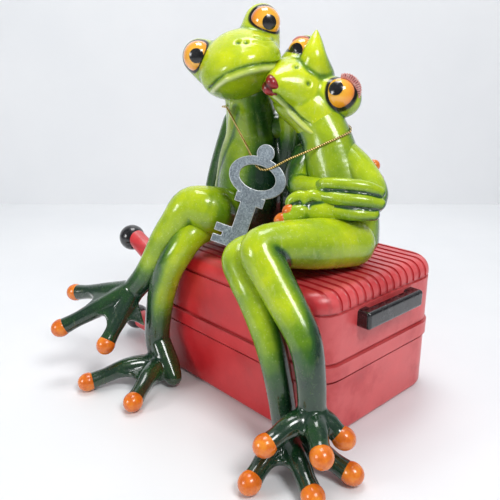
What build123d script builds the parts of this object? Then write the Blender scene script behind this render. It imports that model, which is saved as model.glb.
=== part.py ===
"""Two tree frogs sitting on a suitcase, with a key on a cord round their necks.

The frame has its origin at the middle of the suitcase's flat bottom. +Z is up, -Y is the front, where
the legs hang down, and +X is the end with the carry handle. Both frogs face the front.
"""
from math import pi, radians, tan
import os

from build123d import *

# Suitcase
SUITCASE_LENGTH = 112.0
SUITCASE_WIDTH = 78.0
SUITCASE_HEIGHT = 59.0
CORNER_RADIUS = 12.0
TOP_EDGE_RADIUS = 6.0
BOTTOM_EDGE_RADIUS = 2.5
RIB_COUNT = 14
RIB_PITCH = 4.6
RIB_GROOVE_RADIUS = 0.9
RIB_SKIRT = 1.0
GROOVE_WIDTH = 1.2
GROOVE_DEPTH = 0.8
ZIP_BAND_BOTTOM = 24.0
ZIP_BAND_TOP = 31.0
ZIP_BAND_RAISE = 0.8

# Carry handle on the +X end wall
HANDLE_LENGTH = 36.0
HANDLE_HEIGHT = 7.0
HANDLE_THICKNESS = 4.0
HANDLE_STANDOFF = 1.6
HANDLE_FOOT_LENGTH = 6.0
HANDLE_BOTTOM = 43.0
HANDLE_CORNER = 1.4

# Wheels on the -X end wall
WHEEL_RADIUS = 6.4
BRACKET_ROOT_RADIUS = 5.0
BRACKET_TIP_RADIUS = 4.6
BRACKET_LENGTH = 15.0
WHEEL_INSET = 8.0
UPPER_WHEEL_HEIGHT = 52.5
UPPER_BRACKET_HEIGHT = 43.0
LOWER_WHEEL_HEIGHT = 9.0
WHEEL_SEAT_DEPTH = 1.3

# Frog limbs
THIGH_RADIUS = 9.0
KNEE_RADIUS = 7.0
SHIN_RADIUS = 6.0
ANKLE_RADIUS = 4.4
TOE_RADIUS = 3.0
TOE_SWELL = 1.15
PAD_RADIUS = 4.1
WEB_THICKNESS = 2.2
WEB_SHARE = 0.68
UPPER_ARM_RADIUS = 4.8
ELBOW_RADIUS = 4.4
WRIST_RADIUS = 3.4
FINGER_RADIUS = 1.8
FINGERTIP_RADIUS = 2.5
FINGER_ROOT_SHARE = 0.8
JOINT_SWELL = 1.04
JOINT_SEAM = (0.3, 0.5, 0.8)

# Where each frog sits on the lid
GENT_SEAT = (-23.0, 3.0)
LADY_SEAT = (31.0, 6.0)

# Head sections from nape to snout: forward, rise, half width, half height
GENT_HEAD_SECTIONS = [
    (-14, 0, 8, 6),
    (-8, -1, 15, 10.5),
    (0, -2, 18.5, 12.5),
    (8, -3, 17, 11),
    (14, -3.5, 12, 7.5),
    (17.5, -3.5, 6, 3.6),
]
LADY_HEAD_SECTIONS = [
    (-13, 0, 7, 5.5),
    (-8, -0.5, 13, 9),
    (0, -1, 16, 10.5),
    (7, -1, 13.5, 8.5),
    (12, -0.5, 8.5, 5.5),
    (15, 0, 4.5, 3.2),
]

# Eyes, lashes and lips
EYE_RADIUS = 6.3
SOCKET_PLAY = 0.02
LID_RADIUS = 7.0
LID_SETBACK = 3.0
STALK_RADIUS = 6.0
PUPIL_RADIUS = 3.2
PUPIL_RAISE = 0.4
LASH_REACH = 2.8
LASH_SHIFT = 2.2
LASH_THICKNESS = 1.4
LIP_LENGTH = 8.0
LIP_RADIUS = 2.1
LIP_END_RADIUS = 1.1
LIP_SPACING = 3.2
LIP_SHIFT = -2.0
LIP_FORWARD = 15.5
LIP_CURVE = 2.0

# Key
KEY_THICKNESS = 1.5
BOW_WIDTH = 23.5
BOW_HEIGHT = 17.0
BOW_HOLE_WIDTH = 15.0
BOW_HOLE_HEIGHT = 9.8
LUG_RADIUS = 3.6
COLLAR_WIDTH = 12.0
COLLAR_HEIGHT = 4.0
SHAFT_WIDTH = 6.6
SHAFT_LENGTH = 22.5
SHAFT_ROOT = 1.0
BIT_REACH = 6.0
BIT_HEIGHT = 8.0
TOOTH_GAP = 1.4

# Cord
CORD_DIAMETER = 0.9
CORD_BEND_SHARE = 0.45
KNOT_RADIUS = 1.8

# Places taken from the suitcase
SEAT = SUITCASE_HEIGHT
FRONT = -SUITCASE_WIDTH / 2
END = SUITCASE_LENGTH / 2
RIB_FOOT = SEAT - TOP_EDGE_RADIUS - RIB_SKIRT
WHEEL_X = -END - BRACKET_LENGTH - WHEEL_RADIUS + WHEEL_SEAT_DEPTH
WHEEL_Y = SUITCASE_WIDTH / 2 - WHEEL_INSET

# Key and cord: the key leans on the laps, hung from the cord
KEY_PLANE = Plane(origin=(5.3, -20.7, SEAT + 33.5), x_dir=(0.712, 0.629, -0.311), z_dir=(0.7, -0.65, 0.29))
KNOT_PLACE = (-2, 20, SEAT + 55)
CORD_ROUTE = [
    (-3.2, 20.6, SEAT + 55.3),
    (-16, 17.5, SEAT + 58),
    (-28.5, 13, SEAT + 59.5),
    (-33.8, 4, SEAT + 59.5),
    (-31.0, -4.5, SEAT + 58.5),
    (-26.6, -9.9, SEAT + 57.3),
    (-19.4, -11.9, SEAT + 54.5),
    (-12, -12.9, SEAT + 47.5),
    (-3, -15.5, SEAT + 40),
    (5.4, -18.7, SEAT + 36.6),
    (12, -19.2, SEAT + 38),
    (20, -8.5, SEAT + 42.5),
    (28, -2, SEAT + 46.5),
    (30, 9, SEAT + 50),
    (24, 19, SEAT + 51.5),
    (12, 22, SEAT + 53),
    (-0.8, 20.4, SEAT + 54.6),
]


def keep(piece, label):
    """Label a finished piece and write it as its own file."""
    piece.part.label = label
    export_step(piece.part, f"parts/{label}.step")


def ball(centre, outward, radius):
    """A ball whose seam faces outward, away from the piece it is set into."""
    outward = Vector(outward).normalized()
    pole = outward.cross(Vector(0.3, 0.2, 1)).normalized()
    with BuildPart(Plane(origin=centre, x_dir=outward, z_dir=pole)) as form:
        Sphere(radius)
    return form


def limb(stations):
    """Tapered runs that meet at round joints; each station is (centre, radius)."""
    with BuildPart() as form:
        for (start, start_radius), (end, end_radius) in zip(stations, stations[1:]):
            run = Vector(end) - Vector(start)
            with Locations(Plane(origin=start, z_dir=run)):
                Cone(start_radius, end_radius, run.length, align=(Align.CENTER, Align.CENTER, Align.MIN))
        for centre, radius in stations:
            add(ball(centre, JOINT_SEAM, radius * JOINT_SWELL).part)
    return form.part


def body_form(sections):
    """Loft upright oval sections; each is (centre, half width in X, half depth in Y)."""
    with BuildPart() as form:
        for centre, half_width, half_depth in sections:
            with BuildSketch(Plane(origin=centre, x_dir=(0, 1, 0))):
                Ellipse(half_depth, half_width)
        loft()
    return form.part


def head_form(face, sections):
    """Loft oval sections along a face plane; each is (forward, rise, half width, half height)."""
    with BuildPart() as form:
        for forward, rise, half_width, half_height in sections:
            with BuildSketch(face.offset(forward)):
                with Locations((0, rise)):
                    Ellipse(half_width, half_height)
        loft()
    return form.part


def web(root, first_toe, second_toe):
    """Skin stretched between two toes, over part of their length."""
    root, first_toe, second_toe = Vector(root), Vector(first_toe), Vector(second_toe)
    first = root + (first_toe - root) * WEB_SHARE
    second = root + (second_toe - root) * WEB_SHARE
    normal = (first - root).cross(second - root).normalized()
    plane = Plane(origin=root, x_dir=(first - root).normalized(), z_dir=normal)
    corners = [plane.to_local_coords(point) for point in (root, first, second)]
    with BuildPart() as skin:
        with BuildSketch(plane):
            with BuildLine():
                Polyline(*[(corner.X, corner.Y) for corner in corners], close=True)
            make_face()
        extrude(amount=WEB_THICKNESS / 2, both=True)
    return skin.part


def foot(root, toes):
    """Toes that fan out from one root, with webs between neighbours."""
    root = Vector(root)
    with BuildPart() as fan:
        for toe in toes:
            tip = Vector(toe)
            middle = root + (tip - root) * 0.5
            add(limb([(root, ANKLE_RADIUS), (middle, TOE_RADIUS * TOE_SWELL), (tip, TOE_RADIUS)]))
        for first_toe, second_toe in zip(toes, toes[1:]):
            add(web(root, first_toe, second_toe))
    return fan.part


def leg(hip, knee, shin):
    """Thigh and shin that meet at the knee; the shin's last place is the ankle."""
    taper = [
        SHIN_RADIUS + (ANKLE_RADIUS - SHIN_RADIUS) * index / (len(shin) - 1) for index in range(len(shin))
    ]
    return limb([(hip, THIGH_RADIUS), (knee, KNEE_RADIUS), *zip(shin, taper)])


def arm(shoulder, elbow, wrist, tips):
    """Upper arm and forearm that meet at the elbow, and fingers from the wrist."""
    with BuildPart() as form:
        add(limb([(shoulder, UPPER_ARM_RADIUS), (elbow, ELBOW_RADIUS), (wrist, WRIST_RADIUS)]))
        for tip in tips:
            add(limb([(wrist, WRIST_RADIUS * FINGER_ROOT_SHARE), (tip, FINGER_RADIUS)]))
    return form.part


def eye_ball(centre, look, radius):
    """An eyeball, or the hollow it sits in, whose pole is where the eye looks."""
    with BuildPart(Plane(origin=centre, z_dir=look)) as eye:
        Sphere(radius)
    return eye


def pads(root, tips, radius):
    """Round pads at the tips of the toes or fingers that fan out from one root."""
    with BuildPart() as group:
        for tip in tips:
            add(ball(tip, Vector(tip) - Vector(root), radius).part)
    return group


def pupil_cap(centre, look):
    """A thin black cap that follows the eyeball."""
    with BuildPart(Plane(origin=centre, z_dir=look)) as pupil:
        Sphere(EYE_RADIUS + PUPIL_RAISE)
        Cylinder(
            PUPIL_RADIUS,
            2 * EYE_RADIUS,
            align=(Align.CENTER, Align.CENTER, Align.MIN),
            mode=Mode.INTERSECT,
        )
        Sphere(EYE_RADIUS, mode=Mode.SUBTRACT)
    return pupil


def eye_points(face, spread, rise, forward):
    """Left and right eye centres on a face plane, whose X runs to the frog's left."""
    return [Vector(*face.from_local_coords((side * spread, rise, forward))) for side in (1, -1)]


def lid_points(eyes, looks):
    """Centres of the lids, each set back from its eye against the look."""
    return [eye - Vector(look).normalized() * LID_SETBACK for eye, look in zip(eyes, looks)]


os.makedirs("parts", exist_ok=True)

# Suitcase body: a rounded case with ribs over the lid, a proud zip band and four wheel brackets
with BuildPart() as suitcase_body:
    with BuildSketch():
        RectangleRounded(SUITCASE_LENGTH, SUITCASE_WIDTH, CORNER_RADIUS)
    extrude(amount=SUITCASE_HEIGHT)
    fillet(suitcase_body.faces().sort_by(Axis.Z)[-1].edges(), TOP_EDGE_RADIUS)
    fillet(suitcase_body.faces().sort_by(Axis.Z)[0].edges(), BOTTOM_EDGE_RADIUS)
    bracket_levels = [(LOWER_WHEEL_HEIGHT, LOWER_WHEEL_HEIGHT), (UPPER_BRACKET_HEIGHT, UPPER_WHEEL_HEIGHT)]
    for wheel_y in (-WHEEL_Y, WHEEL_Y):
        for root_z, wheel_z in bracket_levels:
            with BuildSketch(Plane(origin=(-END + CORNER_RADIUS / 2, wheel_y, root_z), z_dir=(-1, 0, 0))):
                Circle(BRACKET_ROOT_RADIUS)
            with BuildSketch(Plane(origin=(-END - BRACKET_LENGTH, wheel_y, wheel_z), z_dir=(-1, 0, 0))):
                Circle(BRACKET_TIP_RADIUS)
            loft()
            add(ball((WHEEL_X, wheel_y, wheel_z), (-1, 0, 0), WHEEL_RADIUS).part, mode=Mode.SUBTRACT)
    with BuildSketch(Plane.XY.offset(ZIP_BAND_BOTTOM + GROOVE_WIDTH)):
        RectangleRounded(
            SUITCASE_LENGTH + 2 * ZIP_BAND_RAISE,
            SUITCASE_WIDTH + 2 * ZIP_BAND_RAISE,
            CORNER_RADIUS + ZIP_BAND_RAISE,
        )
    extrude(amount=ZIP_BAND_TOP - ZIP_BAND_BOTTOM - GROOVE_WIDTH)
    for groove_bottom in (ZIP_BAND_BOTTOM, ZIP_BAND_TOP, RIB_FOOT - GROOVE_WIDTH):
        with BuildSketch(Plane.XY.offset(groove_bottom)):
            RectangleRounded(SUITCASE_LENGTH + 1, SUITCASE_WIDTH + 1, CORNER_RADIUS)
            RectangleRounded(
                SUITCASE_LENGTH - 2 * GROOVE_DEPTH,
                SUITCASE_WIDTH - 2 * GROOVE_DEPTH,
                CORNER_RADIUS - GROOVE_DEPTH,
                mode=Mode.SUBTRACT,
            )
        extrude(amount=GROOVE_WIDTH, mode=Mode.SUBTRACT)
    for rib in range(RIB_COUNT + 1):
        rib_y = (rib - RIB_COUNT / 2) * RIB_PITCH
        with BuildLine(Plane.XZ.offset(-rib_y)) as rib_path:
            FilletPolyline(
                (-END, RIB_FOOT),
                (-END, SEAT),
                (END, SEAT),
                (END, RIB_FOOT),
                radius=TOP_EDGE_RADIUS,
            )
        with BuildSketch(Plane(origin=(-END, rib_y, RIB_FOOT))):
            Circle(RIB_GROOVE_RADIUS)
        sweep(path=rib_path.line, mode=Mode.SUBTRACT)
keep(suitcase_body, "suitcase_body")

# Wheels: black balls seated in hollows at the bracket tips
for side_name, wheel_y in (("front", -WHEEL_Y), ("rear", WHEEL_Y)):
    for level_name, wheel_z in (("lower", LOWER_WHEEL_HEIGHT), ("upper", UPPER_WHEEL_HEIGHT)):
        wheel = ball((WHEEL_X, wheel_y, wheel_z), (-1, 0, 0), WHEEL_RADIUS)
        keep(wheel, f"wheel_{side_name}_{level_name}")

# Carry handle: a bar on two feet
handle_wall = Plane(origin=(END, 0, HANDLE_BOTTOM + HANDLE_HEIGHT / 2), x_dir=(0, 1, 0), z_dir=(1, 0, 0))
handle_foot_y = (HANDLE_LENGTH - HANDLE_FOOT_LENGTH) / 2
with BuildPart() as carry_handle:
    with BuildSketch(handle_wall):
        with Locations((-handle_foot_y, 0), (handle_foot_y, 0)):
            RectangleRounded(HANDLE_FOOT_LENGTH, HANDLE_HEIGHT, HANDLE_CORNER)
    extrude(amount=HANDLE_STANDOFF)
    with BuildSketch(handle_wall.offset(HANDLE_STANDOFF)):
        RectangleRounded(HANDLE_LENGTH, HANDLE_HEIGHT, HANDLE_CORNER)
    extrude(amount=HANDLE_THICKNESS)
    fillet(carry_handle.faces().sort_by(Axis.X)[-1].edges(), HANDLE_CORNER)
keep(carry_handle, "carry_handle")

# Gent: his joints, placed from the seat, the front wall and the floor
gent_x = GENT_SEAT[0]
gent_y = GENT_SEAT[1]
gent_face = Plane(
    origin=(gent_x + 9, gent_y - 15, SEAT + 76), x_dir=(0.62, 0.674, 0.4), z_dir=(0.76, -0.64, -0.1)
)
gent_eyes = eye_points(gent_face, spread=17, rise=13, forward=-4)
gent_looks = [(0.93, -0.36, 0), (0.03, -0.98, 0.16)]

gent_right_hip = (gent_x - 6, gent_y - 11, SEAT + 12)
gent_right_knee = (gent_x + 4.5, FRONT + 3, SEAT + 22)
gent_right_shin = [
    (gent_x - 4.8, FRONT - 5, SEAT + 5),
    (gent_x - 11.7, FRONT - 9.5, SEAT - 9.5),
    (gent_x - 19, FRONT - 15, 38.5),
]
gent_right_toes = [
    (gent_x - 49, FRONT - 27, 33),
    (gent_x - 33, FRONT - 43, 25),
    (gent_x - 14, FRONT - 32, 20),
]

gent_left_hip = (gent_x + 3, gent_y - 15, SEAT + 8)
gent_left_knee = (gent_x + 9.5, FRONT + 0.5, SEAT + 9)
gent_left_shin = [
    (gent_x + 5, FRONT - 5.5, SEAT + 0.5),
    (gent_x - 0.6, FRONT - 7.5, SEAT - 9),
    (gent_x - 6, FRONT - 8, SEAT - 23),
    (gent_x - 8, FRONT - 9, 18),
]
gent_left_heel = (gent_x - 5, FRONT - 8.5, 6)
gent_left_toes = [
    (gent_x - 16.5, FRONT - 40.5, PAD_RADIUS),
    (gent_x + 10.7, FRONT - 34.8, PAD_RADIUS),
]

gent_right_shoulder = (gent_x - 12, gent_y - 1, SEAT + 51)
gent_right_elbow = (gent_x - 19.5, gent_y - 4, SEAT + 28)
gent_right_wrist = (gent_x - 23, gent_y - 8, SEAT + 11)
gent_right_tips = [
    (gent_x - 25.5, gent_y - 15, SEAT + FINGERTIP_RADIUS),
    (gent_x - 20, gent_y - 18, SEAT + FINGERTIP_RADIUS),
    (gent_x - 16, gent_y - 13.5, SEAT + FINGERTIP_RADIUS),
]
gent_left_shoulder = (gent_x + 11, gent_y + 5, SEAT + 49)
gent_left_elbow = (gent_x + 29, gent_y + 18, SEAT + 43)
gent_left_wrist = (gent_x + 46, gent_y + 19.5, SEAT + 37)
gent_left_tips = [
    (gent_x + 58.5, gent_y + 12.5, SEAT + 38),
    (gent_x + 60.5, gent_y + 13, SEAT + 32.5),
    (gent_x + 57.5, gent_y + 15.5, SEAT + 27),
]

# Lady: the same joints in her pose
lady_x = LADY_SEAT[0]
lady_y = LADY_SEAT[1]
lady_face = Plane(
    origin=(lady_x - 25, lady_y - 3, SEAT + 68), x_dir=(0.763, 0.05, -0.646), z_dir=(0.045, -0.998, -0.024)
)
lady_eyes = eye_points(lady_face, spread=14.4, rise=8.5, forward=-5)
lady_looks = [(0.3, -0.75, 0.59), (-0.25, -0.93, 0.24)]
lady_lash_lifts = [(1, 0, 0.2), (0.4, 0, 1)]

lady_left_hip = (lady_x + 9, lady_y - 9, SEAT + 10)
lady_left_knee = (lady_x + 0.5, FRONT - 5, SEAT + 17.5)
lady_left_shin = [
    (lady_x + 13.4, FRONT - 6, SEAT - 1),
    (lady_x + 25, FRONT - 7, SEAT - 12),
    (lady_x + 28.5, FRONT - 8, 34),
    (lady_x + 30, FRONT - 8.5, 20.5),
]
lady_left_toes = [
    (lady_x + 26.5, FRONT - 27.5, 16.5),
    (lady_x + 43, FRONT - 18.5, 16.5),
    (lady_x + 41, FRONT - 5, 16),
]
lady_right_hip = (lady_x - 7, lady_y - 13, SEAT + 8)
lady_right_knee = (lady_x - 12, FRONT - 4, SEAT + 8)
lady_right_shin = [
    (lady_x + 1.5, FRONT - 8.5, SEAT - 4),
    (lady_x + 9.5, FRONT - 9, SEAT - 17),
    (lady_x + 14.3, FRONT - 9, 28),
    (lady_x + 18, FRONT - 9.5, 14),
]
lady_right_heel = (lady_x + 20, FRONT - 11, 8)
lady_right_toes = [
    (lady_x + 25, FRONT - 33, PAD_RADIUS),
    (lady_x + 43.5, FRONT - 22.7, PAD_RADIUS),
    (lady_x + 45, FRONT - 4.8, PAD_RADIUS),
]

lady_left_shoulder = (lady_x - 4, lady_y + 2, SEAT + 42)
lady_left_elbow = (lady_x + 13, lady_y - 2, SEAT + 27)
lady_left_wrist = (lady_x - 2, lady_y - 22.5, SEAT + 23.5)
lady_left_tips = [
    (lady_x - 10.5, lady_y - 28, SEAT + 25.5),
    (lady_x - 9, lady_y - 29.5, SEAT + 19.5),
]
lady_right_shoulder = (lady_x - 20, lady_y - 5, SEAT + 41)
lady_right_elbow = (lady_x - 15.5, lady_y - 13, SEAT + 28)
lady_right_wrist = (lady_x + 2, lady_y - 14.5, SEAT + 31)
lady_right_tips = [
    (lady_x + 15, lady_y - 7.5, SEAT + 32.5),
    (lady_x + 15.5, lady_y - 8.5, SEAT + 28),
    (lady_x + 14, lady_y - 11, SEAT + 24),
]

with BuildPart() as gent_torso:
    add(
        body_form(
            [
                ((gent_x, gent_y, SEAT), 15, 12),
                ((gent_x, gent_y, SEAT + 12), 17, 14),
                ((gent_x, gent_y, SEAT + 27), 16, 13),
                ((gent_x + 0.5, gent_y, SEAT + 42), 13.5, 11.5),
                ((gent_x + 2, gent_y - 2, SEAT + 54), 11, 10.5),
                ((gent_x + 5, gent_y - 7, SEAT + 66), 9.5, 9.5),
            ]
        )
    )
keep(gent_torso, "gent_torso")

with BuildPart() as lady_torso:
    add(
        body_form(
            [
                ((lady_x, lady_y, SEAT), 13, 11),
                ((lady_x - 0.5, lady_y, SEAT + 12), 14.5, 12),
                ((lady_x - 5, lady_y, SEAT + 28), 13, 11.5),
                ((lady_x - 10.5, lady_y, SEAT + 40), 11.5, 10.5),
                ((lady_x - 14, lady_y, SEAT + 47), 9.5, 9.5),
                ((lady_x - 20, lady_y - 1, SEAT + 58), 8.5, 8.5),
            ]
        )
    )
keep(lady_torso, "lady_torso")

# Heads: a wide jaw that tapers to the snout, with raised lids round the eyes
with BuildPart() as gent_head:
    add(head_form(gent_face, GENT_HEAD_SECTIONS))
    for lid in lid_points(gent_eyes, gent_looks):
        add(limb([(gent_face.origin, STALK_RADIUS), (lid, LID_RADIUS)]))
    add(gent_torso.part, mode=Mode.SUBTRACT)
    for eye, look in zip(gent_eyes, gent_looks):
        add(eye_ball(eye, look, EYE_RADIUS + SOCKET_PLAY).part, mode=Mode.SUBTRACT)
keep(gent_head, "gent_head")

with BuildPart() as lady_head:
    add(head_form(lady_face, LADY_HEAD_SECTIONS))
    for lid in lid_points(lady_eyes, lady_looks):
        add(limb([(lady_face.origin, STALK_RADIUS), (lid, LID_RADIUS)]))
    add(lady_torso.part, mode=Mode.SUBTRACT)
    add(gent_head.part, mode=Mode.SUBTRACT)
    for eye, look in zip(lady_eyes, lady_looks):
        add(eye_ball(eye, look, EYE_RADIUS + SOCKET_PLAY).part, mode=Mode.SUBTRACT)
keep(lady_head, "lady_head")

# Eyes and pupils
for frog, centres, looks in (("gent", gent_eyes, gent_looks), ("lady", lady_eyes, lady_looks)):
    for side, centre, look in zip(("left", "right"), centres, looks):
        keep(eye_ball(centre, look, EYE_RADIUS), f"{frog}_{side}_eye")
        keep(pupil_cap(centre, look), f"{frog}_{side}_pupil")

# Legs: thigh, knee and shin, then a fan of webbed toes
gent_right_toe_pads = pads(gent_right_shin[-1], gent_right_toes, PAD_RADIUS)
keep(gent_right_toe_pads, "gent_right_toe_pads")
with BuildPart() as gent_right_leg:
    add(leg(gent_right_hip, gent_right_knee, gent_right_shin))
    add(foot(gent_right_shin[-1], gent_right_toes))
    add(gent_torso.part, mode=Mode.SUBTRACT)
    add(gent_right_toe_pads.part, mode=Mode.SUBTRACT)
keep(gent_right_leg, "gent_right_leg")

gent_left_toe_pads = pads(gent_left_heel, gent_left_toes, PAD_RADIUS)
keep(gent_left_toe_pads, "gent_left_toe_pads")
with BuildPart() as gent_left_leg:
    add(leg(gent_left_hip, gent_left_knee, gent_left_shin + [gent_left_heel]))
    add(foot(gent_left_heel, gent_left_toes))
    add(gent_torso.part, mode=Mode.SUBTRACT)
    add(suitcase_body.part, mode=Mode.SUBTRACT)
    add(gent_right_leg.part, mode=Mode.SUBTRACT)
    add(gent_left_toe_pads.part, mode=Mode.SUBTRACT)
keep(gent_left_leg, "gent_left_leg")

lady_left_toe_pads = pads(lady_left_shin[-1], lady_left_toes, PAD_RADIUS)
keep(lady_left_toe_pads, "lady_left_toe_pads")
with BuildPart() as lady_left_leg:
    add(leg(lady_left_hip, lady_left_knee, lady_left_shin))
    add(foot(lady_left_shin[-1], lady_left_toes))
    add(lady_torso.part, mode=Mode.SUBTRACT)
    add(lady_left_toe_pads.part, mode=Mode.SUBTRACT)
keep(lady_left_leg, "lady_left_leg")

lady_right_toe_pads = pads(lady_right_heel, lady_right_toes, PAD_RADIUS)
keep(lady_right_toe_pads, "lady_right_toe_pads")
with BuildPart() as lady_right_leg:
    add(leg(lady_right_hip, lady_right_knee, lady_right_shin + [lady_right_heel]))
    add(foot(lady_right_heel, lady_right_toes))
    add(lady_torso.part, mode=Mode.SUBTRACT)
    add(suitcase_body.part, mode=Mode.SUBTRACT)
    add(lady_left_leg.part, mode=Mode.SUBTRACT)
    add(lady_right_toe_pads.part, mode=Mode.SUBTRACT)
keep(lady_right_leg, "lady_right_leg")

# Arms: upper arm, elbow and forearm, then long fingers
gent_right_fingertips = pads(gent_right_wrist, gent_right_tips, FINGERTIP_RADIUS)
keep(gent_right_fingertips, "gent_right_fingertips")
with BuildPart() as gent_right_arm:
    add(arm(gent_right_shoulder, gent_right_elbow, gent_right_wrist, gent_right_tips))
    add(gent_torso.part, mode=Mode.SUBTRACT)
    add(gent_right_fingertips.part, mode=Mode.SUBTRACT)
keep(gent_right_arm, "gent_right_arm")

lady_left_fingertips = pads(lady_left_wrist, lady_left_tips, FINGERTIP_RADIUS)
keep(lady_left_fingertips, "lady_left_fingertips")
with BuildPart() as lady_left_arm:
    add(arm(lady_left_shoulder, lady_left_elbow, lady_left_wrist, lady_left_tips))
    add(lady_torso.part, mode=Mode.SUBTRACT)
    add(lady_left_leg.part, mode=Mode.SUBTRACT)
    add(lady_left_fingertips.part, mode=Mode.SUBTRACT)
keep(lady_left_arm, "lady_left_arm")

with BuildPart() as lady_right_arm:
    add(arm(lady_right_shoulder, lady_right_elbow, lady_right_wrist, lady_right_tips))
    add(lady_torso.part, mode=Mode.SUBTRACT)
    add(lady_left_arm.part, mode=Mode.SUBTRACT)
keep(lady_right_arm, "lady_right_arm")

gent_left_fingertips = pads(gent_left_wrist, gent_left_tips, FINGERTIP_RADIUS)
keep(gent_left_fingertips, "gent_left_fingertips")
with BuildPart() as gent_left_arm:
    add(arm(gent_left_shoulder, gent_left_elbow, gent_left_wrist, gent_left_tips))
    add(gent_torso.part, mode=Mode.SUBTRACT)
    add(lady_torso.part, mode=Mode.SUBTRACT)
    add(lady_left_arm.part, mode=Mode.SUBTRACT)
    add(gent_left_fingertips.part, mode=Mode.SUBTRACT)
keep(gent_left_arm, "gent_left_arm")

# Lips: two soft rolls at the tip of the snout
with BuildPart() as lady_lips:
    for lip_rise in (-LIP_SPACING / 2, LIP_SPACING / 2):
        lip_places = [
            (LIP_SHIFT - LIP_LENGTH / 2, lip_rise, LIP_FORWARD - LIP_CURVE),
            (LIP_SHIFT, lip_rise, LIP_FORWARD),
            (LIP_SHIFT + LIP_LENGTH / 2, lip_rise, LIP_FORWARD - LIP_CURVE),
        ]
        lip_radii = [LIP_END_RADIUS, LIP_RADIUS, LIP_END_RADIUS]
        lip_centres = [lady_face.from_local_coords(place) for place in lip_places]
        add(limb(list(zip(lip_centres, lip_radii))))
    add(lady_head.part, mode=Mode.SUBTRACT)
    add(gent_head.part, mode=Mode.SUBTRACT)
keep(lady_lips, "lady_lips")

# Lashes: a crescent outside the rim of each of her eyes
for side, eye, look, lift in zip(("left", "right"), lady_eyes, lady_looks, lady_lash_lifts):
    lash_plane = Plane(origin=eye, x_dir=Vector(lift).cross(Vector(look)), z_dir=look)
    with BuildPart() as lash:
        with BuildSketch(lash_plane.offset(-LASH_THICKNESS)):
            with Locations((0, LASH_SHIFT)):
                Circle(EYE_RADIUS + LASH_REACH / 2)
            Circle(EYE_RADIUS, mode=Mode.SUBTRACT)
            with Locations((0, -EYE_RADIUS)):
                Rectangle(4 * EYE_RADIUS, 2 * EYE_RADIUS, mode=Mode.SUBTRACT)
        extrude(amount=LASH_THICKNESS)
        add(eye_ball(eye, look, EYE_RADIUS).part, mode=Mode.SUBTRACT)
        add(lady_head.part, mode=Mode.SUBTRACT)
        add(gent_head.part, mode=Mode.SUBTRACT)
    keep(lash, f"lady_{side}_lash")

# Key: an oval bow with a lug on top, a collar, a shaft and a toothed bit
shaft_top = -BOW_HEIGHT / 2 + SHAFT_ROOT
bit_y = shaft_top - SHAFT_LENGTH + BIT_HEIGHT / 2
bit_end = -SHAFT_WIDTH / 2 - BIT_REACH
with BuildPart() as key:
    with BuildSketch(KEY_PLANE):
        Ellipse(BOW_WIDTH / 2, BOW_HEIGHT / 2)
        with Locations((0, BOW_HEIGHT / 2 + LUG_RADIUS / 2)):
            Circle(LUG_RADIUS)
        with Locations((0, -BOW_HEIGHT / 2 - COLLAR_HEIGHT / 4)):
            Rectangle(COLLAR_WIDTH, COLLAR_HEIGHT)
        with Locations((0, shaft_top - SHAFT_LENGTH / 2)):
            Rectangle(SHAFT_WIDTH, SHAFT_LENGTH)
        with Locations((bit_end + BIT_REACH / 2, bit_y)):
            Rectangle(BIT_REACH + 1, BIT_HEIGHT)
        with Locations((bit_end, bit_y)):
            Rectangle(BIT_REACH, TOOTH_GAP, mode=Mode.SUBTRACT)
        Ellipse(BOW_HOLE_WIDTH / 2, BOW_HOLE_HEIGHT / 2, mode=Mode.SUBTRACT)
    extrude(amount=KEY_THICKNESS / 2, both=True)
keep(key, "key")

# Cord: a closed route from the knot round both necks, through the bow and back to the knot
turns = [
    (Vector(after) - Vector(here)).get_angle(Vector(here) - Vector(before))
    for before, here, after in zip(CORD_ROUTE, CORD_ROUTE[1:], CORD_ROUTE[2:])
]
runs = [(Vector(after) - Vector(here)).length for here, after in zip(CORD_ROUTE, CORD_ROUTE[1:])]
bends = [
    CORD_BEND_SHARE * min(first, second) / tan(radians(turn / 2))
    for first, second, turn in zip(runs, runs[1:], turns)
]
print("cord bend radii", [round(bend, 2) for bend in bends])
with BuildPart() as key_cord:
    with BuildLine() as cord_line:
        FilletPolyline(*CORD_ROUTE, radius=bends)
    with BuildSketch(Plane(origin=cord_line.line @ 0, z_dir=cord_line.line % 0)):
        Circle(CORD_DIAMETER / 2)
    sweep()
keep(key_cord, "key_cord")
cord_section = pi * CORD_DIAMETER**2 / 4
cord_length = sum(edge.length for edge in cord_line.edges())
print("cord volume", round(key_cord.part.volume, 2), "section x length", round(cord_section * cord_length, 2))

with BuildPart() as cord_knot:
    with Locations(KNOT_PLACE):
        Sphere(KNOT_RADIUS)
    add(key_cord.part, mode=Mode.SUBTRACT)
keep(cord_knot, "cord_knot")
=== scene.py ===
"""Two painted resin tree frogs on a red suitcase, with a key on a gold cord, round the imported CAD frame."""

import math

import bmesh
import bpy
import numpy as np
from mathutils import Matrix, Vector


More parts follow.
